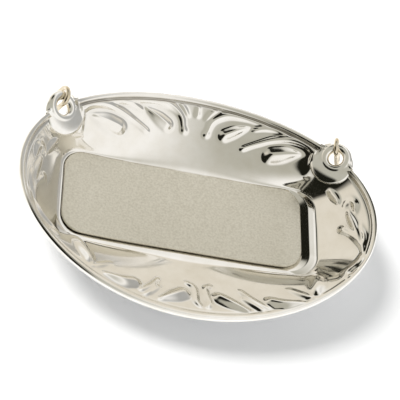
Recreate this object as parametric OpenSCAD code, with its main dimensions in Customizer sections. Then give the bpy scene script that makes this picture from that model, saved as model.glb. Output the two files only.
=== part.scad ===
// Dished oval wine label with a raised scroll border, a plain name panel,
// two soldered lugs and the end link of the chain in each lug.
// The label lies on its back: +X to its right, +Y towards the lugs, +Z out of its front.

/* [Label] */
// Width of the oval at its front edge
label_w = 58; // [54:1:64]
// Height of the oval at its front edge
label_h = 40.6; // [38:0.2:44]
// Rise of the two ends above the floor
end_rise = 9; // [7:0.5:11]
// Rise of the upper and lower edges above the floor
side_rise = 5.6; // [4.4:0.2:7]
// Thickness of the pressed sheet
sheet_t = 0.9; // [0.7:0.05:1.1]
// Width of the plain lip round the edge
lip_w = 1.1; // [0.8:0.1:1.6]
// Height of the lip's rounded crown
lip_h = 0.3; // [0.1:0.05:0.5]

/* [Floor] */
// Width of the floor that the name panel lies on
floor_w = 42.4; // [38:0.2:44]
// Height of the floor
floor_h = 16.2; // [14:0.2:18]
// Radius of the floor's corners
floor_corner_r = 3.6; // [2.5:0.1:5]
// Distance of the floor's middle above the oval's middle
floor_y = 0.8; // [-1:0.1:2]
// Width of the middle of the floor that stays flat
floor_flat_w = 16; // [12:1:20]
// Radius to which the floor and the panel curl up on either side of it
curl_r = 116; // [90:1:160]

/* [Name panel] */
// Thickness of the panel
panel_t = 0.5; // [0.3:0.05:0.8]
// Gap between the panel and the foot of the wall at its upper and left edges
panel_gap = 0.15; // [0.1:0.05:0.4]
// Width of the stepped frame at the panel's right edge
strip_right = 2.2; // [0.5:0.05:2.5]
// Width of the stepped frame at the panel's lower edge
strip_low = 1.05; // [0.5:0.05:2]
// Height of the frame's step against its width
step_share = 0.22; // [0.1:0.01:0.3]
// Film of solder under the panel
film_t = 0.06; // [0.05:0.01:0.1]

/* [Border] */
// Height of the raised teardrops
boss_h = 0.8; // [0.4:0.05:1]
// Width of the widest teardrop at its head
drop_w = 2.8; // [2:0.1:3.2]
// Height of the scrolls and leaves
scroll_h = 0.5; // [0.2:0.05:0.8]
// Width of a plain scroll at its middle
scroll_w = 1.2; // [0.8:0.1:1.6]
// Distance of the lower border's middle to the right of the label's middle
foot_shift = 1.6; // [0:0.1:2]
// Depth of the line that sets off the lip
line_d = 0.2; // [0.1:0.05:0.3]

/* [Lugs] */
// Direction of the lugs from the floor's middle, in degrees
lug_angle = 26; // [22:0.5:30]
// Distance of the lug's eye inside the edge
lug_inset = 0.4; // [0.2:0.1:0.8]
// Narrowest width of the eye
eye_d = 2.2; // [2:0.05:2.6]
// Thickness of the round bar of the lug
bar_d = 1.6; // [1.2:0.05:1.8]
// Thickness of the two feet that spread along the edge
foot_t = 1.2; // [0.9:0.05:1.5]
// Radius of the hollow between the lug and each foot
foot_r = 2; // [1.2:0.1:2.4]
// Joint filled with solder between the lug and the sheet
solder_gap = 0.08; // [0.05:0.01:0.15]

/* [Links] */
// Direction in which the chain pulls, in degrees from the right
pull_angle = 82; // [70:1:90]
// Thickness of the link's wire
wire_d = 0.8; // [0.6:0.05:0.9]
// Distance between the centres of the link's two round ends
link_reach = 2.4; // [2:0.1:3]
// Play between the link and the bar of the lug
link_play = 0.15; // [0.1:0.05:0.2]

/* [Hidden] */
$fn = 48;
half_w = label_w / 2;
half_h = label_h / 2;
panel_w = floor_w - panel_gap - strip_right;
panel_h = floor_h - panel_gap - strip_low;
panel_x = (panel_gap - strip_right) / 2;
panel_y = floor_y + (strip_low - panel_gap) / 2;
panel_corner_r = floor_corner_r - panel_gap;
eye_r = eye_d / 2;
bar_r = bar_d / 2;
wire_r = wire_d / 2;
loop_r = eye_r + bar_r;
lug_r = eye_r + bar_d;
notch_r = lug_r + solder_gap;
link_r = bar_r + link_play + wire_r;

// Angles, in degrees, at which the sheet is laid out, closer together beside the lugs
angle_step = 2;
fine_step = 0.75;
slope_step = 0.5;
notch_span = 7.5;
upper_right = concat(
    [for (a = 0; a < lug_angle - notch_span - fine_step; a = a + angle_step) a],
    [for (a = lug_angle - notch_span; a <= lug_angle + notch_span; a = a + fine_step) a],
    [for (a = 90 - angle_step * floor((90 - lug_angle - notch_span - fine_step) / angle_step);
        a <= 90; a = a + angle_step) a]);
upper_left = [for (i = len(upper_right) - 2; i >= 0; i = i - 1) 180 - upper_right[i]];
lower_half = [for (a = 180 + angle_step; a < 360; a = a + angle_step) a];
angles = concat(upper_right, upper_left, lower_half);

// Shares of the floor and of the wall at which the sheet is laid out
floor_shares = [0.36, 0.58, 0.79, 1];
border_rings = 14;
back_shares = [1, 0.7, 0.4];
floor_back_shares = [1, 0.7, 0.35];

// Shares of the frame beside the panel at which its sloping side begins and ends
bevel_start = 0.1;
bevel_stop = 0.5;

// Steps in which a stroke of the border is laid out, the width of a scroll at its two tips
// against its middle, and that of a teardrop at its tail against its head
stroke_steps = 6;
tip_share = 0.45;
tail_share = 0.25;

// Steps in which half of the panel's curl is laid out, and the part of the edge that a lug's feet fit
curl_steps = 16;
edge_span = 16;

// Raised teardrops of the right half: direction and share across the wall of the head,
// the same of the tail, and the width against the widest
teardrops = [
    [71, 0.6, 61.5, 0.79, 0.8],
    [43, 0.54, 35, 0.71, 1],
    [-56.5, 0.77, -46.5, 0.9, 0.85],
    [-80, 0.67, -69.5, 0.88, 0.95]];

// Scrolls and leaves of the right half: direction and share across the wall of both ends,
// how far the stroke is drawn to its left, and its width against a plain scroll
scrolls = [
    [80.5, 0.88, 84.5, 0.75, -0.3, 0.7],
    [82.5, 0.54, 82.5, 0.57, 0, 1.2],
    [82, 0.56, 52.5, 0.87, 5.4, 1.15],
    [58.5, 0.77, 43.5, 0.88, 1.5, 0.9],
    [57, 0.49, 23.5, 0.23, 8.8, 1.15],
    [16.5, 0.43, 10, 0.49, 0.2, 0.85],
    [8, 0.55, 5, 0.7, 1.8, 0.75],
    [4.5, 0.59, -7.5, 0.72, 0.3, 0.85],
    [-1.5, 0.46, -12.5, 0.8, 0.9, 0.9],
    [-14.5, 0.79, -25, 0.88, -1.8, 1],
    [-20, 0.05, -39, 0.87, -0.7, 1.8],
    [-41.5, 0.91, -43.5, 0.61, 0.1, 0.75],
    [-65.5, 0.53, -61, 0.86, -0.7, 0.85],
    [-67.5, 0.67, -63.5, 0.9, -0.2, 0.75],
    [-82, 0.46, -88, 0.84, -1.5, 0.75]];

function unit(v) = v / norm(v);
function flat_part(v) = [v.x, v.y];

// How far a rectangle with round corners reaches in the direction a from a place inside it,
// whose distances from its upright side and from its level edge are given
function round_reach(a, side, edge, r) =
    let (c = abs(cos(a)), s = abs(sin(a)), x = side - r, y = edge - r, m = c * x + s * y)
    side * s <= y * c ? side / c :
    edge * c <= x * s ? edge / s :
    m + sqrt(m * m - x * x - y * y + r * r);

// How far the floor and the panel on it reach from the floor's middle in the direction a
function floor_reach(a) = round_reach(a, floor_w / 2, floor_h / 2, floor_corner_r);
function panel_reach(a) =
    round_reach(a, floor_w / 2 - (cos(a) > 0 ? strip_right : panel_gap),
                floor_h / 2 - (sin(a) > 0 ? panel_gap : strip_low), panel_corner_r);

// How far the edge of the oval lies from the floor's middle in the direction a
function rim_reach(a) =
    let (c = cos(a) / half_w, s = sin(a) / half_h, y = floor_y / half_h,
         q = c * c + s * s)
    (sqrt(s * s * y * y + q * (1 - y * y)) - s * y) / q;

// Rise of the floor and of the panel at the place x
function curl(x) =
    let (beyond = max(0, abs(x) - floor_flat_w / 2))
    curl_r - sqrt(curl_r * curl_r - beyond * beyond);

function floor_point(a, share) =
    let (r = share * floor_reach(a))
    [r * cos(a), floor_y + r * sin(a), sheet_t + curl(r * cos(a))];

function rim_point(a) =
    let (x = rim_reach(a) * cos(a), y = floor_y + rim_reach(a) * sin(a))
    [x, y, sheet_t + end_rise * pow(x / half_w, 2) + side_rise * pow(y / half_h, 2)];

// A place on the plain wall between the floor's outline and the edge
function wall_point(a, share) = floor_point(a, 1) * (1 - share) + rim_point(a) * share;

// Direction in which the sheet's thickness and its ornament stand out
function press_dir(p) =
    unit([-2 * end_rise * p.x / (half_w * half_w), -2 * side_rise * p.y / (half_h * half_h), 1]);

// The right lug: its middle, and the axes of its loop
lug_share = 1 - lug_inset / norm(rim_point(lug_angle) - floor_point(lug_angle, 1));
lug_front = wall_point(lug_angle, lug_share);
lug_axis = press_dir(lug_front);
lug_center = lug_front - lug_axis * sheet_t / 2;
edge_run = rim_point(lug_angle + slope_step) - rim_point(lug_angle - slope_step);
lug_out = unit(cross(edge_run, lug_axis));
lug_side = cross(lug_out, lug_axis);

// A place seen along the lug's axis, as distances to its side and outwards
function lug_view(p) = [(p - lug_center) * lug_side, (p - lug_center) * lug_out];

// Share of the wall at which the notch for the lug ends it in the direction a
function wall_end(a) =
    let (b = a > 90 && a <= 180 ? 180 - a : a,
         from = lug_view(floor_point(b, 1)),
         run = lug_view(rim_point(b)) - from,
         half = from * run / (run * run),
         rest = (from * from - notch_r * notch_r) / (run * run),
         root = half * half - rest)
    abs(b - lug_angle) > notch_span || root <= 0 ? 1 : min(1, -half - sqrt(root));

// A place on a stroke that is drawn to its left between two others
function bowed(from, to, bow, t) =
    let (run = to - from, drawn = (from + to) / 2 + bow * unit([-run.y, run.x]))
    from * pow(1 - t, 2) + drawn * 2 * t * (1 - t) + to * t * t;

function place(direction, share) = flat_part(wall_point(direction, share));

// Strokes as places along them, each with half the width there
function drop_stroke(drop) =
    let (head = place(drop[0], drop[1]), tail = place(drop[2], drop[3]), half = drop_w * drop[4] / 2)
    [for (i = [0 : stroke_steps])
        let (t = i / stroke_steps)
        [head + t * (tail - head), half * (1 - (1 - tail_share) * t * t)]];

function scroll_stroke(scroll) =
    let (from = place(scroll[0], scroll[1]), to = place(scroll[2], scroll[3]),
         half = scroll_w * scroll[5] / 2)
    [for (i = [0 : stroke_steps])
        let (t = i / stroke_steps)
        [bowed(from, to, scroll[4], t), half * (tip_share + (1 - tip_share) * sin(180 * t))]];

drop_strokes = [for (drop = teardrops) drop_stroke(drop)];
scroll_strokes = [for (scroll = scrolls) scroll_stroke(scroll)];

// Height of a stroke at the place p against its full height: a rounded ridge
function ridge(stroke, p) =
    max([for (i = [0 : stroke_steps - 1])
        let (from = stroke[i], to = stroke[i + 1], run = to[0] - from[0],
             t = min(1, max(0, (p - from[0]) * run / (run * run))),
             off = norm(p - from[0] - t * run) / (from[1] + t * (to[1] - from[1])))
        max(0, 1 - off * off)]);

// Height of the lip, and of the line inside it, at the distance d from the edge
function lip_height(d) = d < lip_w ? lip_h * 4 * d / lip_w * (1 - d / lip_w) - line_d * d / lip_w : 0;

// Height of the ornament at the place p, the left half as the right
function ornament(p) =
    let (q = [abs(p.x + foot_shift * min(0, p.y) / half_h), p.y])
    max(concat([for (stroke = drop_strokes) boss_h * ridge(stroke, q)],
               [for (stroke = scroll_strokes) scroll_h * ridge(stroke, q)]));

function wall_length(a) = norm(rim_point(a) - floor_point(a, 1));

// The frame beside the panel: its width along the direction a, the slant at which that direction
// crosses it, the height of its step and the top of its sloping side
function frame_w(a) = floor_reach(a) - panel_reach(a);
function frame_slant(a) =
    let (way = [cos(a), sin(a)], p = floor_reach(a) * way,
         x = floor_w / 2 - floor_corner_r, y = floor_h / 2 - floor_corner_r)
    unit(p - [min(x, max(-x, p.x)), min(y, max(-y, p.y))]) * way;
function step_h(a) = step_share * frame_w(a) * frame_slant(a);
function frame_share(a, share) = (panel_reach(a) + share * frame_w(a)) / floor_reach(a);
function flat_point(a, share) = floor_point(a, share * frame_share(a, bevel_start));
function bevel_top(a) = floor_point(a, frame_share(a, bevel_stop)) + [0, 0, step_h(a)];

// Share of the wall at which the frame's level top meets it, and the back of the sheet there
function frame_end(a) = step_h(a) / (rim_point(a).z - floor_point(a, 1).z);
function frame_back(a) =
    let (p = wall_point(a, frame_end(a)))
    p - unit(press_dir(p) + [0, 0, 1]) * sheet_t;

// A place on the ornament, counted from the frame to the lip
function border_front(a, share) =
    let (p = wall_point(a, frame_end(a) * (1 - share) + border_end(a) * share))
    p + press_dir(p) * ornament(flat_part(p));

function lip_front(a, d) =
    let (share = wall_end(a) - d / wall_length(a), p = wall_point(a, share))
    p + press_dir(p) * lip_height((1 - share) * wall_length(a));

function wall_back(a, share) =
    let (p = wall_point(a, share * wall_end(a)))
    p - press_dir(p) * sheet_t;

// Share of the wall that the ornament may fill in the direction a
function border_end(a) = wall_end(a) - lip_w / wall_length(a);

sheet_rings = concat(
    [for (share = floor_shares) [for (a = angles) flat_point(a, share)]],
    [[for (a = angles) bevel_top(a)]],
    [for (i = [0 : border_rings - 1]) [for (a = angles) border_front(a, i / border_rings)]],
    [for (d = [lip_w, lip_w / 2, 0]) [for (a = angles) lip_front(a, d)]],
    [for (share = back_shares) [for (a = angles) wall_back(a, share)]],
    [[for (a = angles) frame_back(a)]],
    [[for (a = angles) bevel_top(a) - [0, 0, sheet_t]]],
    [for (share = floor_back_shares) [for (a = angles) flat_point(a, share) - [0, 0, sheet_t]]]);

// A closed solid from one middle point through rings that go round the same way to another
module ringed_solid(first, rings, last) {
    count = len(rings[0]);
    final = (len(rings) - 1) * count;
    close = len(rings) * count;
    polyhedron(
        points = concat([for (ring = rings) each ring], [first, last]),
        faces = [for (i = [0 : count - 1])
            let (j = (i + 1) % count)
            each concat(
                [[close, j, i], [close + 1, final + i, final + j]],
                [for (low = [0 : count : final - count])
                    each [[low + i, low + count + j, low + count + i],
                          [low + i, low + j, low + count + j]]])]);
}

module label_plate() {
    middle = floor_point(0, 0);
    color("gainsboro") ringed_solid(middle, sheet_rings, middle - [0, 0, sheet_t]);
}

// Side view of the panel: a strip that follows the floor
module panel_strip() {
    reach = floor_w / 2;
    places = [-reach : reach / curl_steps : reach];
    low = sheet_t + film_t;
    polygon(concat(
        [for (x = places) [x, low + curl(x)]],
        [for (x = places) [-x, low + panel_t + curl(x)]]));
}

module name_panel() {
    color("silver") intersection() {
        translate([0, label_h / 2, 0])
            rotate([90, 0, 0])
                linear_extrude(label_h) panel_strip();
        translate([panel_x, panel_y, 0]) linear_extrude(end_rise) panel_outline();
    }
}

module panel_outline() {
    inner_w = panel_w - 2 * panel_corner_r;
    inner_h = panel_h - 2 * panel_corner_r;
    square([panel_w, inner_h], center = true);
    square([inner_w, panel_h], center = true);
    for (x = [-1, 1], y = [-1, 1])
        translate([x * inner_w / 2, y * inner_h / 2]) circle(panel_corner_r);
}

// Puts what it holds on the right lug, with the loop's axis along Z
module at_lug() {
    multmatrix([
        [lug_side.x, lug_out.x, lug_axis.x, lug_center.x],
        [lug_side.y, lug_out.y, lug_axis.y, lug_center.y],
        [lug_side.z, lug_out.z, lug_axis.z, lug_center.z],
        [0, 0, 0, 1]]) children();
}

// Outline of the two feet: they fill the corners between the loop and the edge
module feet_outline() {
    rise = lug_inset + foot_r;
    seat_r = loop_r + bar_r / 2;
    spread = sqrt(pow(seat_r + foot_r, 2) - rise * rise);
    top = [spread, rise] * seat_r / (seat_r + foot_r);
    difference() {
        polygon([[-spread, -lug_r], [spread, -lug_r], [spread, lug_inset],
                 top, [-top.x, top.y], [-spread, lug_inset]]);
        for (side = [-1, 1]) translate([side * spread, rise]) circle(foot_r);
        circle(loop_r);
        edge_side();
    }
}

// The sheet as the lug sees it, with the soldered joint round it
module edge_side() {
    seen = [for (a = [lug_angle - edge_span : 1 : lug_angle + edge_span]) lug_view(rim_point(a))];
    polygon(concat(
        [for (p = seen) p + [0, solder_gap]],
        [[seen[len(seen) - 1].x, -half_h], [seen[0].x, -half_h]]));
}

module lug() {
    at_lug() {
        rotate_extrude() translate([loop_r, 0]) circle(bar_r);
        translate([0, 0, -foot_t / 2]) linear_extrude(foot_t) feet_outline();
    }
}

module right_lug() {
    color("gainsboro") lug();
}

module left_lug() {
    color("gainsboro") mirror([1, 0, 0]) lug();
}

// Where the right link hangs on its lug, the axis it turns on and the way it hangs
pull_dir = [cos(pull_angle), sin(pull_angle), 0];
link_out = unit(pull_dir - (pull_dir * lug_axis) * lug_axis);
link_pivot = lug_center + link_out * loop_r;
link_axis = cross(lug_axis, link_out);
link_up = unit([0, 0, 1] - link_axis.z * link_axis);
link_side = cross(link_up, link_axis);

// One chain link that hangs from the origin along -Z and turns about X
module hanging_link() {
    rotate([0, -90, 0]) rotate([0, 0, -90])
        rotate_extrude(angle = 180) translate([link_r, 0]) circle(wire_r);
    for (side = [-1, 1])
        translate([0, side * link_r, -link_reach]) cylinder(h = link_reach, r = wire_r);
    translate([0, 0, -link_reach]) rotate([0, 90, 0]) rotate([0, 0, -90])
        rotate_extrude(angle = 180) translate([link_r, 0]) circle(wire_r);
}

module link() {
    multmatrix([
        [link_axis.x, link_side.x, link_up.x, link_pivot.x],
        [link_axis.y, link_side.y, link_up.y, link_pivot.y],
        [link_axis.z, link_side.z, link_up.z, link_pivot.z],
        [0, 0, 0, 1]]) hanging_link();
}

module right_link() {
    color("lightgray") link();
}

module left_link() {
    color("lightgray") mirror([1, 0, 0]) link();
}

label_plate();
name_panel();
left_lug();
right_lug();
left_link();
right_link();
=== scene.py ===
import math

import bpy
import numpy as np
from mathutils import Matrix, Vector


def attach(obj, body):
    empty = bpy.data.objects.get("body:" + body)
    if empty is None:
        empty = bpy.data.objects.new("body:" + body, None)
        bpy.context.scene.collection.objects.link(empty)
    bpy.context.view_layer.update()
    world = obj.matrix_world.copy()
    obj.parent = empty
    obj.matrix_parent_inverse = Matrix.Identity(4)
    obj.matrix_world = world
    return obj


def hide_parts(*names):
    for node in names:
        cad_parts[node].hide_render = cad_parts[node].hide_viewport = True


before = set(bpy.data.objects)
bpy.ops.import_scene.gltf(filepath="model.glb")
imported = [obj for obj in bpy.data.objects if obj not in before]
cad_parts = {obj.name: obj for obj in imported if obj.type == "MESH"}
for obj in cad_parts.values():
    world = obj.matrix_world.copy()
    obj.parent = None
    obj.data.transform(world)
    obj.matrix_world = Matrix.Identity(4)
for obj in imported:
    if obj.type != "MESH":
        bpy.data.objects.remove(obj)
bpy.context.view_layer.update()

# Sizes are in millimetres, and MM makes them metres. The sheet, the floor, the panel and the places
# of lugs and links are those of the solids. Lip, bevel and wire are a little finer than there.
MM = 0.001

# The oval: half its width and height, the rise of its edge at the ends and at the sides, its sheet
HALF_W, HALF_H = 29.0, 20.3
END_RISE, SIDE_RISE = 9.0, 5.6
SHEET = 0.9

# The floor: half its width and height, its corners, its middle, half its level part and the curl
# beyond that
FLOOR_W, FLOOR_H, FLOOR_CORNER, FLOOR_Y = 21.2, 8.1, 3.6, 0.8
FLOOR_FLAT, CURL_R = 8.0, 116.0

# The satin panel: size, middle, corners, thickness and underside, the floor left free beside it,
# the steps round a corner, the cuts that let it curl, and its rounded edge
PANEL_W, PANEL_H, PANEL_X, PANEL_Y = 40.05, 15.0, -1.025, 1.25
PANEL_CORNER, PANEL_T, PANEL_LOW = 3.45, 0.5, 0.96
PANEL_GAP, STRIP_RIGHT, STRIP_LOW = 0.15, 2.2, 1.05
PANEL_CORNER_STEPS, PANEL_CUTS = 14, 42
PANEL_EDGE, PANEL_EDGE_STEPS = 0.2, 4
EDGE_ANGLE, SMOOTH_ANGLE = math.radians(50), math.radians(35)

# The frame beside the panel: its height as a share of its width, and the shares of its width at
# which the bevel starts and stops. It is wide from this share of its greatest height.
STEP_SHARE, BEVEL_START, BEVEL_STOP = 0.22, 0.06, 0.6
WIDE_SHARE = 0.5

# Roundness of the crease at the wall's foot where the frame is wide and where it is narrow, how far
# the crease reaches up the wall, and how far a narrow frame is filled up to meet the panel's edge
CREASE_WIDE, CREASE_NARROW, CREASE_REACH = 0.07, 0.16, 4
FILL_H = 0.45

# The lip round the edge and the line sunk under it. Both fade down the label: they have this share
# at mid-height, gain this much up to the top, and keep at least the last share.
LIP_W, LIP_H = 1.1, 0.2
LINE_D, LINE_W = 0.15, 0.28
LIP_MIDDLE, LIP_GAIN, LIP_LEAST = 0.6, 0.9, 0.3

# How dark the line is painted with shade, fading in the same way so that it is darkest at the top,
# and how much darker than the tarnish and painted shade in a hollow of the border
SHADE_MIDDLE, SHADE_GAIN, SHADE_LEAST, SHADE_MOST = 0.35, 0.6, 0.2, 0.9
LINE_SHADE = 2

# Over this far from the lip a stroke rises to its height
STROKE_FADE = 0.3

# Points in a ring of the plate, rings of the frame and of the wall, how much closer the wall's
# rings lie towards the edge, and the passes that soften the strokes and find their hollows
RING_POINTS, FRAME_RINGS, WALL_RINGS = 720, 26, 88
WALL_CROWD = 1.12
STROKE_PASSES, RECESS_PASSES = 4, 6

# Depth below its surroundings at which a hollow of the border gets its full tarnish and painted
# shade
RECESS_FULL = 0.2

# Shares at which rings lie on the floor and on the back of the wall. The edge rolls over at these
# angles, this far in, and its direction is taken over the last share of the wall.
FLOOR_SHARES = (0.3, 0.6, 0.85, 1.0)
BACK_SHARES = (0.985, 0.85, 0.7, 0.55, 0.4, 0.25, 0.12)
EDGE_TURNS = (0.35, 0.7, 1.05, 1.57, 2.09, 2.44, 2.8)
ROUND_OVER, EDGE_SHARE = 0.22, 0.02

# The right lug: its angle round the floor's middle, the angle to each side over which the run of
# the edge is taken, its middle, its axis, the notch cut for it, and the middle of its loop's bar
LUG_ANGLE = math.radians(26)
LUG_LOOK = 0.01
LUG_CENTER = np.array([23.1832, 12.1407, 8.0127])
LUG_AXIS = np.array([-0.423731, -0.281156, 0.861048])
NOTCH_R, NOTCH_SPAN = 2.78, math.radians(7.5)
LOOP_R = 1.9

# The tab round the loop: half its sizes along the edge, outwards and through, how far in it lies,
# and how flat its faces are. Then the drill through it, the fineness and smoothing of the lug that
# loop and tab make together, and the reach over which double points of the loop are merged.
TAB_HALF, TAB_SHIFT, TAB_FLAT = (3.7, 3.5, 0.74), -1.1, 0.65
TAB_SEGMENTS, TAB_RINGS = 64, 32
DRILL_DEPTH, DRILL_SIDES = 6, 48
LUG_GRAIN, LUG_SMOOTH, LUG_PASSES = 0.075, 0.5, 24
WELD = 0.001

# The wall's swell towards a lug: height, reach along the edge and outwards, how far in, and falloff
SWELL_H, SWELL_ALONG, SWELL_OUT, SWELL_IN = 0.45, 3.1, 4.0, 1.8
SWELL_POWER = 1.5

# The right link: pivot, axis, radius to the wire's middle, half the wire, length of its straights,
# steps round the link and round the wire, and cuts along a straight
LINK_PIVOT = Vector((23.1756, 13.948, 8.59905))
LINK_AXIS = Vector((-0.905779, 0.127299, -0.404177))
LINK_R, WIRE_R, LINK_REACH = 1.35, 0.395, 2.4
LINK_STEPS, WIRE_STEPS, STRAIGHT_CUTS = 48, 20, 6


# The pressed surface. Angles run round the floor's middle.


def curl(x):
    """Rise of the floor and of the panel at the place x."""
    beyond = np.maximum(0, np.abs(x) - FLOOR_FLAT)
    return CURL_R - np.sqrt(CURL_R**2 - beyond**2)


def round_reach(a, side, edge, r):
    """How far a rectangle with round corners reaches from a place inside it."""
    c, s = np.abs(np.cos(a)), np.abs(np.sin(a))
    cx, cy = side - r, edge - r
    m = c * cx + s * cy
    corner = m + np.sqrt(np.maximum(0, m * m - cx * cx - cy * cy + r * r))
    across = side / np.maximum(c, 1e-9)
    up = edge / np.maximum(s, 1e-9)
    return np.where(side * s <= cy * c, across, np.where(edge * c <= cx * s, up, corner))


def floor_reach(a):
    """How far the floor reaches."""
    return round_reach(a, FLOOR_W, FLOOR_H, FLOOR_CORNER)


def panel_reach(a):
    """How far the panel reaches, which leaves more of the floor free at the right and below."""
    side = FLOOR_W - np.where(np.cos(a) > 0, STRIP_RIGHT, PANEL_GAP)
    edge = FLOOR_H - np.where(np.sin(a) > 0, PANEL_GAP, STRIP_LOW)
    return round_reach(a, side, edge, PANEL_CORNER)


def frame_slant(a):
    """How squarely a direction from the middle crosses the frame beside the panel."""
    way = np.stack([np.cos(a), np.sin(a)], -1)
    p = floor_reach(a)[:, None] * way
    corner = np.array([FLOOR_W - FLOOR_CORNER, FLOOR_H - FLOOR_CORNER])
    out = p - np.clip(p, -corner, corner)
    return np.sum(out * way, -1) / np.linalg.norm(out, axis=-1)


def rim_reach(a):
    """How far the edge of the oval lies from the floor's middle."""
    c, s, y = np.cos(a) / HALF_W, np.sin(a) / HALF_H, FLOOR_Y / HALF_H
    q = c * c + s * s
    return (np.sqrt(s * s * y * y + q * (1 - y * y)) - s * y) / q


def floor_point(a, share):
    """A place on the floor, at a share of the way to its edge."""
    r = share * floor_reach(a)
    x = r * np.cos(a)
    return np.stack([x, FLOOR_Y + r * np.sin(a), SHEET + curl(x)], -1)


def rim_point(a):
    """A place on the edge of the oval."""
    x, y = rim_reach(a) * np.cos(a), FLOOR_Y + rim_reach(a) * np.sin(a)
    z = SHEET + END_RISE * (x / HALF_W) ** 2 + SIDE_RISE * (y / HALF_H) ** 2
    return np.stack([x, y, z], -1)


def wall_point(a, share):
    """A place on the wall, at a share of the way from the floor to the edge."""
    share = np.broadcast_to(share, np.shape(a))[..., None]
    return floor_point(a, 1.0) * (1 - share) + rim_point(a) * share


def press_dir(p):
    """Direction in which the sheet's thickness and its ornament stand out."""
    d = np.stack([-2 * END_RISE * p[..., 0] / HALF_W**2, -2 * SIDE_RISE * p[..., 1] / HALF_H**2,
                  np.ones(p.shape[:-1])], -1)
    return d / np.linalg.norm(d, axis=-1, keepdims=True)


def wall_end(a):
    """Share of the wall at which the notch for a lug ends it."""
    b = np.where((a > math.pi / 2) & (a <= math.pi), math.pi - a, a)
    run_3d = rim_point(b) - floor_point(b, 1.0)
    out_of = floor_point(b, 1.0) - LUG_CENTER
    run = run_3d - (run_3d @ LUG_AXIS)[:, None] * LUG_AXIS
    out_of = out_of - (out_of @ LUG_AXIS)[:, None] * LUG_AXIS
    square = np.sum(run * run, -1)
    half = np.sum(out_of * run, -1) / square
    root = half**2 - (np.sum(out_of * out_of, -1) - NOTCH_R**2) / square
    hit = (np.abs(b - LUG_ANGLE) < NOTCH_SPAN) & (root > 0)
    return np.where(hit, np.minimum(1, -half - np.sqrt(np.maximum(root, 0))), 1.0)


# The scroll border: each line is a height and the places (across, up, width) of one stroke of the
# right half. The left half mirrors it.
STROKES = [
    # crest at the top
    (0.30, [(0, 19.0, 0.5), (0, 17.7, 0.8)]),
    (0.30, [(3.0, 18.8, 0.5), (2.3, 18.3, 0.8), (1.6, 17.4, 0.5)]),
    (0.35, [(1.9, 15.1, 1.1), (1.95, 15.2, 1.1)]),
    (0.50, [(2.0, 15.2, 0.6), (2.6, 17.0, 0.9), (3.9, 18.0, 1.2), (5.6, 18.5, 1.4),
            (8.3, 18.3, 1.3), (10.8, 17.6, 1.1), (12.4, 16.9, 0.5)]),
    (0.80, [(5.0, 15.4, 2.2), (6.6, 16.1, 2.0), (8.8, 16.9, 0.5)]),
    (0.45, [(9.6, 16.5, 0.5), (11.2, 16.9, 1.0), (13.0, 16.8, 1.1), (14.6, 16.2, 0.9),
            (15.6, 15.7, 0.4)]),
    (0.55, [(8.3, 13.7, 0.9), (10.1, 14.4, 0.9), (12.9, 15.2, 1.2), (15.4, 15.4, 1.4),
            (17.5, 14.9, 1.4), (19.0, 14.0, 1.2), (19.7, 12.8, 1.1), (19.6, 11.4, 1.0),
            (19.3, 10.2, 0.5)]),
    (0.90, [(13.1, 13.0, 2.8), (15.0, 13.1, 2.6), (17.5, 13.1, 0.8)]),
    # spray at the end
    (0.35, [(23.2, 7.6, 0.8), (23.9, 6.4, 1.0), (24.4, 5.2, 0.5)]),
    (0.40, [(25.0, 4.4, 0.6), (25.7, 5.0, 0.9), (26.4, 4.2, 0.9), (26.4, 3.0, 0.5)]),
    (0.45, [(25.6, 2.9, 0.6), (26.2, 0.4, 1.0), (26.6, -2.6, 0.5)]),
    (0.50, [(24.8, 0.2, 1.2), (25.8, -1.4, 0.9), (26.5, -3.4, 0.8), (26.6, -5.0, 0.5)]),
    (0.35, [(27.0, -0.3, 0.5), (27.2, -1.8, 0.7), (27.0, -3.5, 0.5)]),
    (0.50, [(26.2, -6.0, 0.7), (25.6, -7.3, 1.1), (24.5, -8.3, 1.2), (23.5, -9.0, 1.0),
            (23.2, -10.2, 0.9), (23.8, -10.3, 0.5)]),
    # lower corner
    (0.60, [(20.2, -6.6, 1.2), (19.6, -8.6, 2.0), (18.9, -11.2, 2.2), (18.1, -13.0, 1.8),
            (18.2, -14.0, 0.8)]),
    (0.35, [(17.6, -14.9, 0.6), (16.0, -13.9, 0.9), (14.2, -12.6, 0.4)]),
    # foot of the label
    (0.80, [(10.9, -15.8, 2.4), (12.8, -16.2, 2.2), (15.6, -15.7, 0.6)]),
    (0.45, [(6.6, -13.6, 0.5), (7.8, -15.4, 1.0), (10.0, -17.2, 0.6)]),
    (0.40, [(6.7, -15.4, 0.5), (8.2, -16.9, 0.9), (9.4, -17.9, 0.4)]),
    (0.85, [(2.9, -15.9, 2.6), (4.4, -16.8, 2.4), (7.0, -18.1, 0.6)]),
    (0.40, [(2.0, -13.2, 0.5), (1.0, -14.0, 0.9), (0.9, -15.6, 0.9), (1.1, -17.2, 0.9),
            (0.6, -18.2, 0.6)]),
]
STROKE_STEPS = 7

# How far the strokes at the foot of the oval lie to the right
FOOT_SHIFT = 1.6

# Height from which a stroke is a drop, and how the sides fall: 1 is a cone, 2 is round
DROP_H, DROP_POWER, SCROLL_POWER = 0.8, 1.2, 2


def smooth_path(points):
    """A curve through the places of one stroke, as close points."""
    p = np.array(points, float)
    p = np.vstack([2 * p[0] - p[1], p, 2 * p[-1] - p[-2]])
    t = np.linspace(0, 1, STROKE_STEPS, endpoint=False)[:, None]
    path = []
    for a, b, c, d in zip(p[:-3], p[1:-2], p[2:-1], p[3:]):
        path.append(0.5 * (2 * b + (c - a) * t + (2 * a - 5 * b + 4 * c - d) * t**2
                           + (3 * b - a - 3 * c + d) * t**3))
    return np.vstack([*path, p[-2:-1]])


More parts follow.
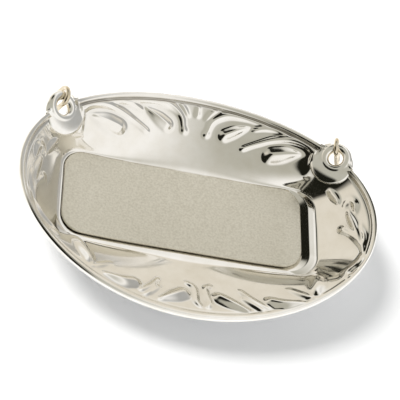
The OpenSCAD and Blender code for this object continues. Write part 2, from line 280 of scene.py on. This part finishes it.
def raise_stroke(relief, flat, height, points):
    """Lifts the relief along one stroke, lower where the stroke is narrow."""
    path = smooth_path(points)
    widest = path[:, 2].max()
    power = DROP_POWER if height >= DROP_H else SCROLL_POWER
    low, high = path[:, :2].min(0) - widest, path[:, :2].max(0) + widest
    near = np.flatnonzero(np.all((flat > low) & (flat < high), axis=1))
    q = flat[near]
    best = np.zeros(len(near))
    for start, stop in zip(path[:-1], path[1:]):
        run = stop[:2] - start[:2]
        t = np.clip((q - start[:2]) @ run / max(run @ run, 1e-9), 0, 1)
        off = np.linalg.norm(q - start[:2] - t[:, None] * run, axis=1)
        half = (start[2] + t * (stop[2] - start[2])) / 2
        share = np.maximum(1 - (off / half) ** power, 0)
        best = np.maximum(best, height * np.sqrt(2 * half / widest) * share)
    relief[near] = np.maximum(relief[near], best)


def border_relief(flat):
    """Height of the scroll border at places on the plan."""
    relief = np.zeros(len(flat))
    shift = FOOT_SHIFT * np.minimum(0, flat[:, 1]) / HALF_H
    half = np.stack([np.abs(flat[:, 0] + shift), flat[:, 1]], 1)
    for height, points in STROKES:
        raise_stroke(relief, half, height, points)
    return relief


def lug_frame(side):
    """The lug's middle and its axes: along the edge, outwards and out of the sheet."""
    near = np.array([LUG_ANGLE - LUG_LOOK, LUG_ANGLE + LUG_LOOK])
    run = np.diff(rim_point(near), axis=0)[0]
    out = np.cross(run, LUG_AXIS)
    out /= np.linalg.norm(out)
    along = np.cross(out, LUG_AXIS)
    mirror = np.array([side, 1, 1])
    return [Vector(v * mirror) for v in (LUG_CENTER, along, out, LUG_AXIS)]


def seat_swell(p):
    """How far the wall swells towards the lugs at the places p."""
    _, along, out, _ = (np.array(v) for v in lug_frame(1))
    off = np.column_stack([np.abs(p[:, 0]), p[:, 1:]]) - LUG_CENTER
    u, v = off @ along / SWELL_ALONG, (off @ out + SWELL_IN) / SWELL_OUT
    return SWELL_H * np.exp(-(u * u + v * v) ** SWELL_POWER)


# Working on pieces


def only(piece):
    """Selects this piece alone and makes it the active one."""
    bpy.ops.object.select_all(action="DESELECT")
    piece.select_set(True)
    bpy.context.view_layer.objects.active = piece


def settle(piece):
    """Puts a piece's place into its mesh, with its object at the origin."""
    only(piece)
    bpy.ops.object.transform_apply(location=True, rotation=True, scale=True)


def add_modifier(piece, kind, **values):
    """Adds one modifier and applies it."""
    only(piece)
    modifier = piece.modifiers.new(kind.lower(), kind)
    for name, value in values.items():
        setattr(modifier, name, value)
    bpy.ops.object.modifier_apply(modifier=modifier.name)


def choose(piece, kind, chosen):
    """Selects these edges or faces of a piece, and leaves it open for editing."""
    bpy.ops.object.mode_set(mode="EDIT")
    bpy.ops.mesh.select_mode(type=kind)
    bpy.ops.mesh.select_all(action="DESELECT")
    bpy.ops.object.mode_set(mode="OBJECT")
    parts = piece.data.edges if kind == "EDGE" else piece.data.polygons
    parts.foreach_set("select", chosen)
    bpy.ops.object.mode_set(mode="EDIT")


def face_outward(piece):
    """Turns all faces of a piece outwards."""
    only(piece)
    bpy.ops.object.mode_set(mode="EDIT")
    bpy.ops.mesh.select_all(action="SELECT")
    bpy.ops.mesh.normals_make_consistent(inside=False)
    bpy.ops.object.mode_set(mode="OBJECT")


# The pressed plate


def soften(grid, passes):
    """Spreads the values of a grid of rings to their neighbours."""
    for _ in range(passes):
        grid = (np.roll(grid, 1, 1) + grid + np.roll(grid, -1, 1)) / 3
        padded = np.vstack([grid[:1], grid, grid[-1:]])
        grid = (padded[:-2] + padded[1:-1] + padded[2:]) / 3
    return grid


def frame_rings(a):
    """Rings of the floor and its frame, and the shares where the floor ends and the wall starts."""
    floor_r, panel_r, rim_r = floor_reach(a), panel_reach(a), rim_reach(a)
    frame_w = floor_r - panel_r
    flat_end = (panel_r + BEVEL_START * frame_w) / floor_r
    bevel = (BEVEL_STOP - BEVEL_START) * frame_w / floor_r
    step = STEP_SHARE * frame_w * frame_slant(a)
    wide = np.clip(step / step.max() / WIDE_SHARE, 0, 1)
    crease = CREASE_NARROW + (CREASE_WIDE - CREASE_NARROW) * wide
    step = step + FILL_H * (1 - wide)
    rise = rim_point(a)[:, 2] - floor_point(a, 1.0)[:, 2]
    meet = (step + crease * CREASE_REACH) / rise
    rings = [floor_point(a, share * flat_end) for share in FLOOR_SHARES]
    for t in np.arange(1, FRAME_RINGS) / FRAME_RINGS:
        r = floor_r * flat_end + t * (floor_r * (1 - flat_end) + meet * (rim_r - floor_r))
        level = step * np.clip((r / floor_r - flat_end) / bevel, 0, 1)
        wall = rise * (r - floor_r) / (rim_r - floor_r)
        high = crease * np.logaddexp(level / crease, wall / crease)
        lift = curl(np.minimum(r, floor_r) * np.cos(a))
        rings.append(np.stack([r * np.cos(a), FLOOR_Y + r * np.sin(a), SHEET + lift + high], -1))
    return rings, flat_end, meet


def wall_rings(a, meet, end):
    """Rings of the wall with its border and lip, and how dark each place is painted: tarnish and
    painted shade by how deep it lies in a hollow, painted shade in the line under the lip.
    """
    length = np.linalg.norm(rim_point(a) - floor_point(a, 1.0), axis=1)
    shares = [meet + (end - meet) * (1 - (1 - k / WALL_RINGS) ** WALL_CROWD)
              for k in range(WALL_RINGS + 1)]
    places = [wall_point(a, share) for share in shares]
    strokes = soften(np.array([border_relief(p[:, :2]) for p in places]), STROKE_PASSES)
    rings, reliefs, lines = [], [], []
    for share, p, relief in zip(shares, places, strokes):
        d = (1 - share) * length
        up = p[:, 1] / HALF_H
        full = np.clip(LIP_MIDDLE + LIP_GAIN * up, LIP_LEAST, 1)
        lip = np.where(d < LIP_W, full * LIP_H * 4 * d / LIP_W * (1 - d / LIP_W), 0)
        line = full * np.exp(-(((d - LIP_W) / LINE_W) ** 2))
        relief = np.maximum(lip, relief * np.clip((d - full * LIP_W) / STROKE_FADE, 0, 1))
        relief = np.maximum(relief - LINE_D * line, -LINE_D)
        swell = seat_swell(p)
        relief = relief * (1 - swell / SWELL_H) + swell
        rings.append(p + press_dir(p) * relief[:, None])
        reliefs.append(relief)
        # Painted shade in the line under the lip, darker towards the top
        lines.append(line * np.clip(SHADE_MIDDLE + SHADE_GAIN * up, SHADE_LEAST, SHADE_MOST))
    reliefs = np.array(reliefs)
    # Tarnish and painted shade in the hollows, by how far each place lies below its softened
    # surroundings
    recess_shade = np.clip((soften(reliefs, RECESS_PASSES) - reliefs) / RECESS_FULL, 0, 1)
    return rings, np.maximum(recess_shade, LINE_SHADE * np.array(lines))


def edge_rings(a, end):
    """Rings that roll the edge of the sheet over from the front to the back."""
    edge = wall_point(a, end)
    press = press_dir(edge)
    out = edge - wall_point(a, end - EDGE_SHARE)
    out /= np.linalg.norm(out, axis=1, keepdims=True)
    return [edge - press * (SHEET / 2 * (1 - math.cos(turn)))
            + out * (ROUND_OVER * (math.sin(turn) - 1)) for turn in EDGE_TURNS]


def back_rings(a, end, flat_end):
    """Rings of the plain back, from the edge to the floor."""
    rings = []
    for share in BACK_SHARES:
        p = wall_point(a, share * end)
        rings.append(p - press_dir(p) * SHEET)
    for share in reversed(FLOOR_SHARES):
        rings.append(floor_point(a, share * flat_end) - [0, 0, SHEET])
    return rings


def sew(rings):
    """Points and faces of a closed skin over the rings, with a middle point at both ends."""
    points = np.vstack([*rings, [[0, FLOOR_Y, SHEET]], [[0, FLOOR_Y, 0]]]) * MM
    count, total = RING_POINTS, len(rings) * RING_POINTS
    i = np.arange(count)
    j = (i + 1) % count
    quads = np.vstack([np.stack([low + i, low + count + i, low + count + j, low + j], 1)
                       for low in range(0, total - count, count)])
    front = np.stack([np.full(count, total), i, j], 1)
    back = np.stack([np.full(count, total + 1), total - count + j, total - count + i], 1)
    return points, quads.tolist() + np.vstack([front, back]).tolist()


def make_plate():
    """The pressed sheet: floor, frame, wall with its border, rolled edge and plain back."""
    a = np.linspace(0, 2 * math.pi, RING_POINTS, endpoint=False)
    end = wall_end(a)
    floor, flat_end, meet = frame_rings(a)
    wall, recess_shade = wall_rings(a, meet, end)
    points, faces = sew([*floor, *wall, *edge_rings(a, end), *back_rings(a, end, flat_end)])
    mesh = bpy.data.meshes.new("pressed_plate")
    mesh.from_pydata(points.tolist(), [], faces)
    # The tarnish and painted shade go to the finish as a point attribute of the wall
    values = np.zeros(len(points), np.float32)
    start = len(floor) * RING_POINTS
    values[start:start + recess_shade.size] = recess_shade.ravel()
    mesh.attributes.new("recess_shade", "FLOAT", "POINT").data.foreach_set("value", values)
    plate = bpy.data.objects.new("pressed_plate", mesh)
    bpy.context.scene.collection.objects.link(plate)
    only(plate)
    bpy.ops.object.shade_smooth()
    return plate


# The other pieces


def make_panel():
    """The satin panel: a thin sheet with round corners, curled with the floor."""
    bpy.ops.object.select_all(action="DESELECT")
    bpy.ops.mesh.primitive_cube_add(
        size=1, location=(PANEL_X * MM, PANEL_Y * MM, (PANEL_LOW + PANEL_T / 2) * MM),
        scale=(PANEL_W * MM, PANEL_H * MM, PANEL_T * MM))
    panel = bpy.context.object
    panel.name = panel.data.name = "satin_panel"
    settle(panel)
    places = [v.co for v in panel.data.vertices]
    upright = [abs(places[e.vertices[0]].z - places[e.vertices[1]].z) > PANEL_T / 2 * MM
               for e in panel.data.edges]
    choose(panel, "EDGE", upright)
    bpy.ops.mesh.bevel(offset=PANEL_CORNER * MM, segments=PANEL_CORNER_STEPS, affect="EDGES")
    for cut in np.linspace(-PANEL_W / 2, PANEL_W / 2, PANEL_CUTS)[1:-1]:
        bpy.ops.mesh.select_all(action="SELECT")
        bpy.ops.mesh.bisect(plane_co=((PANEL_X + cut) * MM, 0, 0), plane_no=(1, 0, 0))
    bpy.ops.object.mode_set(mode="OBJECT")
    for v in panel.data.vertices:
        v.co.z += float(curl(v.co.x / MM)) * MM
    add_modifier(panel, "BEVEL", width=PANEL_EDGE * MM, segments=PANEL_EDGE_STEPS,
                 limit_method="ANGLE", angle_limit=EDGE_ANGLE)
    bpy.ops.object.shade_smooth_by_angle(angle=SMOOTH_ANGLE)
    return panel


def set_in_lug(piece, side, shift, sizes):
    """Turns a piece to the lug's axes, with sizes along them, and shifts it outwards."""
    middle, along, out, axis = lug_frame(side)
    turn = Matrix((along * sizes[0], out * sizes[1], axis * sizes[2])).transposed().to_4x4()
    piece.matrix_world = Matrix.Translation((middle + out * shift) * MM) @ turn
    settle(piece)
    face_outward(piece)


def make_lug(node, name, side):
    """A cast eye: the solid's loop, run together with a flat tab that flows into the wall."""
    bpy.ops.object.select_all(action="DESELECT")
    bpy.ops.mesh.primitive_uv_sphere_add(segments=TAB_SEGMENTS, ring_count=TAB_RINGS, radius=MM)
    tab = bpy.context.object
    for v in tab.data.vertices:
        v.co.z = math.copysign(abs(v.co.z / MM) ** TAB_FLAT, v.co.z) * MM
    set_in_lug(tab, side, TAB_SHIFT, TAB_HALF)
    bpy.ops.object.select_all(action="DESELECT")
    bpy.ops.mesh.primitive_cylinder_add(vertices=DRILL_SIDES, radius=LOOP_R * MM,
                                        depth=DRILL_DEPTH * MM)
    drill = bpy.context.object
    set_in_lug(drill, side, 0, (1, 1, 1))
    add_modifier(tab, "BOOLEAN", operation="DIFFERENCE", object=drill)
    bpy.data.objects.remove(drill)
    only(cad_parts[node])
    bpy.ops.object.duplicate()
    lug = bpy.context.object
    lug.name = lug.data.name = name
    lug.parent = None
    for key in [k for k in lug.keys() if k.startswith("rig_")]:
        del lug[key]
    lug.data.materials.clear()
    bpy.ops.object.mode_set(mode="EDIT")
    bpy.ops.mesh.select_all(action="SELECT")
    bpy.ops.mesh.remove_doubles(threshold=WELD * MM)
    bpy.ops.object.mode_set(mode="OBJECT")
    only(lug)
    tab.select_set(True)
    bpy.ops.object.join()
    add_modifier(lug, "REMESH", mode="VOXEL", voxel_size=LUG_GRAIN * MM)
    add_modifier(lug, "SMOOTH", factor=LUG_SMOOTH, iterations=LUG_PASSES)
    bpy.ops.object.shade_smooth()
    return lug


def open_edges(piece, half):
    """Which edges end the open wire on one side of a link, 1 or -1."""
    faces_of = {}
    for p in piece.data.polygons:
        for key in p.edge_keys:
            faces_of[key] = faces_of.get(key, 0) + 1
    places = [v.co for v in piece.data.vertices]
    return [faces_of[e.key] == 1 and (places[e.vertices[0]].y + places[e.vertices[1]].y) * half > 0
            for e in piece.data.edges]


def make_link(name, side):
    """One chain link: the two halves of a ring drawn apart and joined by straight wire."""
    bpy.ops.object.select_all(action="DESELECT")
    bpy.ops.mesh.primitive_torus_add(
        major_radius=LINK_R * MM, minor_radius=WIRE_R * MM, major_segments=LINK_STEPS,
        minor_segments=WIRE_STEPS, rotation=(0, math.pi / 2, 0))
    link = bpy.context.object
    link.name = link.data.name = name
    settle(link)
    choose(link, "FACE", [p.center.z < 0 for p in link.data.polygons])
    bpy.ops.mesh.split()
    bpy.ops.transform.translate(value=(0, 0, -LINK_REACH * MM))
    for half in (1, -1):
        bpy.ops.object.mode_set(mode="OBJECT")
        choose(link, "EDGE", open_edges(link, half))
        bpy.ops.mesh.bridge_edge_loops(number_cuts=STRAIGHT_CUTS)
    bpy.ops.object.mode_set(mode="OBJECT")
    face_outward(link)
    up = Vector((0, 0, 1)) - LINK_AXIS.z * LINK_AXIS
    up.normalize()
    across = up.cross(LINK_AXIS)
    turn = Matrix((LINK_AXIS, across, up)).transposed().to_4x4()
    link.matrix_world = Matrix.Translation(LINK_PIVOT * MM) @ turn
    settle(link)
    if side < 0:
        bpy.ops.object.mode_set(mode="EDIT")
        bpy.ops.mesh.select_all(action="SELECT")
        bpy.ops.transform.mirror(constraint_axis=(True, False, False), center_override=(0, 0, 0))
        bpy.ops.object.mode_set(mode="OBJECT")
        face_outward(link)
    bpy.ops.object.shade_smooth()
    return link


# Finishes: detail of the cloudiness and of the hairlines, how the hairlines are drawn out and
# turned, and their share of the height
CLOUD_DETAIL, LINE_DETAIL = 5, 3
LINE_STRETCH, LINE_TURN, LINE_SHARE = (1, 9, 4), 0.5, 0.5

# Ranges of the cloudiness that dull the colour and the polish, depth of the hairlines, and the
# colour and strength of the tarnish and painted shade in the deepest hollows and in the line under
# the lip
DULL_RANGE, ROUGH_RANGE = (0.35, 0.7), (0.3, 0.7)
WEAR_DEPTH = 0.02
TARNISH_AND_SHADE, TARNISH_AND_SHADE_MOST = (0.16, 0.14, 0.10), 0.7


def polish_group():
    """Fine wear of polished metal: soft cloudiness and hairlines, as a value and a height."""
    group = bpy.data.node_groups.new("polish_wear", "ShaderNodeTree")
    for name in ("Grain Scale", "Line Scale"):
        group.interface.new_socket(name, in_out="INPUT", socket_type="NodeSocketFloat")
    for name in ("Cloud", "Height"):
        group.interface.new_socket(name, in_out="OUTPUT", socket_type="NodeSocketFloat")
    n = group.nodes
    source, result = n.new("NodeGroupInput"), n.new("NodeGroupOutput")
    place = n.new("ShaderNodeTexCoord")
    cloud = n.new("ShaderNodeTexNoise")
    cloud.inputs["Detail"].default_value = CLOUD_DETAIL
    stretch = n.new("ShaderNodeMapping")
    stretch.inputs["Scale"].default_value = LINE_STRETCH
    stretch.inputs["Rotation"].default_value = (0, 0, LINE_TURN)
    lines = n.new("ShaderNodeTexNoise")
    lines.inputs["Detail"].default_value = LINE_DETAIL
    both = n.new("ShaderNodeMath")
    both.operation = "MULTIPLY_ADD"
    both.inputs[1].default_value = LINE_SHARE
    link = group.links.new
    link(place.outputs["Object"], cloud.inputs["Vector"])
    link(place.outputs["Object"], stretch.inputs["Vector"])
    link(stretch.outputs["Vector"], lines.inputs["Vector"])
    link(source.outputs["Grain Scale"], cloud.inputs["Scale"])
    link(source.outputs["Line Scale"], lines.inputs["Scale"])
    link(lines.outputs["Fac"], both.inputs[0])
    link(cloud.outputs["Fac"], both.inputs[2])
    link(cloud.outputs["Fac"], result.inputs["Cloud"])
    link(both.outputs["Value"], result.inputs["Height"])
    return group


WEAR = polish_group()


def new_finish(name):
    """A finish of its own, and its shader."""
    finish = bpy.data.materials.new(name)
    finish.use_nodes = True
    return finish, finish.node_tree.nodes["Principled BSDF"]


def ramp(tree, source, low, high, to_low, to_high):
    """Runs a value from one range to another."""
    node = tree.nodes.new("ShaderNodeMapRange")
    node.inputs["From Min"].default_value = low
    node.inputs["From Max"].default_value = high
    node.inputs["To Min"].default_value = to_low
    node.inputs["To Max"].default_value = to_high
    tree.links.new(source, node.inputs["Value"])
    return node.outputs["Result"]


def blend(tree, mask, first, second):
    """Two colours mixed by a mask."""
    node = tree.nodes.new("ShaderNodeMix")
    node.data_type = "RGBA"
    node.inputs[6].default_value = (*first, 1)
    node.inputs[7].default_value = (*second, 1)
    tree.links.new(mask, node.inputs["Factor"])
    return node.outputs[2]


def over(tree, base, mask, colour):
    """A colour laid over another by a mask."""
    node = tree.nodes.new("ShaderNodeMix")
    node.data_type = "RGBA"
    tree.links.new(mask, node.inputs["Factor"])
    tree.links.new(base, node.inputs[6])
    node.inputs[7].default_value = (*colour, 1)
    return node.outputs[2]


def metal_finish(name, bright, dull, rough, grain, line, bump):
    """Silver plate: bright metal that clouds a little, with hairlines, and tarnish and painted
    shade in its hollows.
    """
    finish, shader = new_finish(name)
    tree = finish.node_tree
    wear = tree.nodes.new("ShaderNodeGroup")
    wear.node_tree = WEAR
    wear.inputs["Grain Scale"].default_value = grain
    wear.inputs["Line Scale"].default_value = line
    shader.inputs["Metallic"].default_value = 1
    cloud = ramp(tree, wear.outputs["Cloud"], *DULL_RANGE, 0, 1)
    # Tarnish and painted shade from the wall's attribute darken the colour in the hollows and the
    # line
    hollow = tree.nodes.new("ShaderNodeAttribute")
    hollow.attribute_name = "recess_shade"
    shade = ramp(tree, hollow.outputs["Fac"], 0, LINE_SHADE, 0, TARNISH_AND_SHADE_MOST)
    colour = over(tree, blend(tree, cloud, bright, dull), shade, TARNISH_AND_SHADE)
    tree.links.new(colour, shader.inputs["Base Color"])
    polish = ramp(tree, wear.outputs["Cloud"], *ROUGH_RANGE, *rough)
    tree.links.new(polish, shader.inputs["Roughness"])
    height = tree.nodes.new("ShaderNodeBump")
    height.inputs["Strength"].default_value = bump
    height.inputs["Distance"].default_value = WEAR_DEPTH * MM
    tree.links.new(wear.outputs["Height"], height.inputs["Height"])
    tree.links.new(height.outputs["Normal"], shader.inputs["Normal"])
    return finish


# Bright and dull colour, least and most roughness, scales of cloudiness and hairlines, strength
POLISHED = metal_finish("polished_silver", (0.92, 0.90, 0.86), (0.86, 0.83, 0.77), (0.05, 0.11),
                        320, 900, 0.02)
SATIN = metal_finish("satin_silver", (0.84, 0.80, 0.69), (0.72, 0.68, 0.575), (0.36, 0.46),
                     3200, 7200, 0.5)
# The lugs' silver is the plate's colour painted lighter, as painted light on the lugs
CAST_PAINTED_LIGHTER = metal_finish("cast_silver", (0.95, 0.94, 0.91), (0.90, 0.87, 0.81), (0.05, 0.12),
                    500, 1200, 0.04)
WIRE = metal_finish("link_wire", (0.86, 0.79, 0.66), (0.66, 0.55, 0.38), (0.12, 0.24),
                    900, 2400, 0.1)


def dress(piece, finish, body, node):
    """Gives a piece its finish and ties it to the solid that it stands for."""
    piece.data.materials.clear()
    piece.data.materials.append(finish)
    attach(piece, body)
    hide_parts(node)


dress(make_plate(), POLISHED, "label", "label_plate")
dress(make_panel(), SATIN, "label", "name_panel")
for hand, side in (("left", -1), ("right", 1)):
    eye = make_lug(hand + "_lug", hand + "_eye", side)
    dress(eye, CAST_PAINTED_LIGHTER, "label", hand + "_lug")
    end_link = make_link(hand + "_end_link", side)
    dress(end_link, WIRE, hand + "_chain_link", hand + "_link")


# The stage: the table's size in metres, its drop under the label in millimetres, its colour, its
# roughness, and the glow that keeps it white in the picture
TABLE_SIZE, TABLE_DROP = 3, 0.02
TABLE_COLOUR, TABLE_ROUGH = (0.87, 0.89, 0.93, 1), 0.9
GLOW_COLOUR, GLOW = (0.9, 0.93, 1, 1), 0.10

# The photo's view: distance in millimetres, turns about X, Y and Z, scale, and shift of the picture
CAMERA_AWAY = 229.0
CAMERA_TURN = (math.radians(-33.1), math.radians(13.6), math.radians(-9.8))
PIXELS_PER_MM, PICTURE_PIXELS, SENSOR = 6.2, 400, 36
SHIFT_X, SHIFT_Y = 0.0295, 0.049
CLIP_NEAR, CLIP_FAR = 0.01, 20

# The room: white, dim round one direction. Cards laid over it in turn: direction, the angles within
# which a card is full and beyond which it is gone, and its colour.
WHITE, DIM = (1.0, 0.99, 0.97), (0.50, 0.49, 0.43)
DIM_SIDE = ((-0.776, -0.104, 0.621), 53, 80)
CARDS = [
    ((0.8, 0.42, 0.4), 18, 40, (0.44, 0.44, 0.43)),
    ((-0.72, -0.55, 0.42), 27, 34, (0.012, 0.012, 0.008)),
    ((-0.34, 0.55, 0.76), 12, 18, (0.012, 0.012, 0.008)),
]

# The cream band low down behind: the ranges of the direction over which it fades in, and its colour
CREAM_BAND = (("Z", 0.55, 0.32), ("Y", -0.3, 0.05), ("X", 0.82, 0.6))
CREAM = (0.80, 0.755, 0.665)

# The lamp: strength, width in degrees, colour, and the direction that it shines from
LAMP_ENERGY, LAMP_WIDTH, LAMP_COLOUR = 3.2, 26, (1, 0.97, 0.92)
LAMP_FROM = (-0.6, 0.36, 0.72)


def join_values(tree, operation, first, second):
    """One value made of two."""
    node = tree.nodes.new("ShaderNodeMath")
    node.operation = operation
    tree.links.new(first, node.inputs[0])
    tree.links.new(second, node.inputs[1])
    return node.outputs["Value"]


def pick_rays(tree, *names):
    """A mask that is 1 for any of the named kinds of ray."""
    path = tree.nodes.new("ShaderNodeLightPath")
    total = path.outputs[names[0]]
    for name in names[1:]:
        total = join_values(tree, "MAXIMUM", total, path.outputs[name])
    return total


def make_floor():
    """A pale table that keeps the label's shadow."""
    bpy.ops.object.select_all(action="DESELECT")
    bpy.ops.mesh.primitive_plane_add(size=TABLE_SIZE, location=(0, 0, -TABLE_DROP * MM))
    table = bpy.context.object
    table.name = "pale_table"
    finish, shader = new_finish("pale_table")
    shader.inputs["Base Color"].default_value = TABLE_COLOUR
    shader.inputs["Roughness"].default_value = TABLE_ROUGH
    shader.inputs["Emission Color"].default_value = GLOW_COLOUR
    tree = finish.node_tree
    rays = pick_rays(tree, "Is Camera Ray", "Is Glossy Ray", "Is Transmission Ray")
    tree.links.new(ramp(tree, rays, 0, 1, 0, GLOW), shader.inputs["Emission Strength"])
    table.data.materials.append(finish)


def camera_axes():
    """The camera's axes, as the turn that takes it to its place."""
    rx, ry, rz = CAMERA_TURN
    turn = (Matrix.Rotation(rz, 3, "Z") @ Matrix.Rotation(ry, 3, "Y")
            @ Matrix.Rotation(rx, 3, "X"))
    return turn.transposed()


def make_camera():
    """The photo's view, from above and in front and a little from the left."""
    axes = camera_axes()
    eye = bpy.data.cameras.new("photo_view")
    eye.sensor_width = SENSOR
    eye.lens = PIXELS_PER_MM * CAMERA_AWAY * SENSOR / PICTURE_PIXELS
    eye.shift_x, eye.shift_y = SHIFT_X, SHIFT_Y
    eye.clip_start, eye.clip_end = CLIP_NEAR, CLIP_FAR
    view = bpy.data.objects.new("photo_view", eye)
    bpy.context.scene.collection.objects.link(view)
    place = axes @ Vector((0, 0, CAMERA_AWAY)) + Vector((0, 0, SHEET))
    view.matrix_world = Matrix.Translation(place * MM) @ axes.to_4x4()
    bpy.context.scene.camera = view


def make_world():
    """A pale room, dim to the left, with grey and black cards and a cream band low down behind."""
    world = bpy.data.worlds.new("pale_room")
    bpy.context.scene.world = world
    world.use_nodes = True
    tree = world.node_tree
    light = tree.nodes["Background"]
    way = tree.nodes.new("ShaderNodeTexCoord")

    def zone(direction, inner, outer):
        """A mask round a direction: 1 within the inner angle, 0 beyond the outer."""
        dot = tree.nodes.new("ShaderNodeVectorMath")
        dot.operation = "DOT_PRODUCT"
        dot.inputs[1].default_value = Vector(direction).normalized()
        tree.links.new(way.outputs["Generated"], dot.inputs[0])
        fade = tree.nodes.new("ShaderNodeMapRange")
        fade.interpolation_type = "SMOOTHSTEP"
        fade.inputs["From Min"].default_value = math.cos(math.radians(outer))
        fade.inputs["From Max"].default_value = math.cos(math.radians(inner))
        tree.links.new(dot.outputs["Value"], fade.inputs["Value"])
        return fade.outputs["Result"]

    def slope(axis, low, high):
        """A mask that runs from 0 to 1 along one axis of the direction."""
        parts = tree.nodes.new("ShaderNodeSeparateXYZ")
        tree.links.new(way.outputs["Generated"], parts.inputs[0])
        return ramp(tree, parts.outputs[axis], low, high, 0, 1)

    room = blend(tree, zone(*DIM_SIDE), WHITE, DIM)
    for direction, inner, outer, colour in CARDS:
        room = over(tree, room, zone(direction, inner, outer), colour)
    band = slope(*CREAM_BAND[0])
    for fade in CREAM_BAND[1:]:
        band = join_values(tree, "MULTIPLY", band, slope(*fade))
    room = over(tree, room, band, CREAM)
    final = over(tree, room, pick_rays(tree, "Is Camera Ray"), (1, 1, 1))
    tree.links.new(final, light.inputs["Color"])


def make_lamp():
    """A broad lamp from the left and behind, which only the table's shadow shows."""
    lamp = bpy.data.lights.new("shadow_lamp", "SUN")
    lamp.energy = LAMP_ENERGY
    lamp.angle = math.radians(LAMP_WIDTH)
    lamp.color = LAMP_COLOUR
    place = bpy.data.objects.new("shadow_lamp", lamp)
    bpy.context.scene.collection.objects.link(place)
    place.rotation_euler = Vector(LAMP_FROM).to_track_quat("Z", "Y").to_euler()
    place.visible_glossy = False


make_floor()
make_camera()
make_world()
make_lamp()
bpy.context.scene.view_settings.view_transform = "Standard"
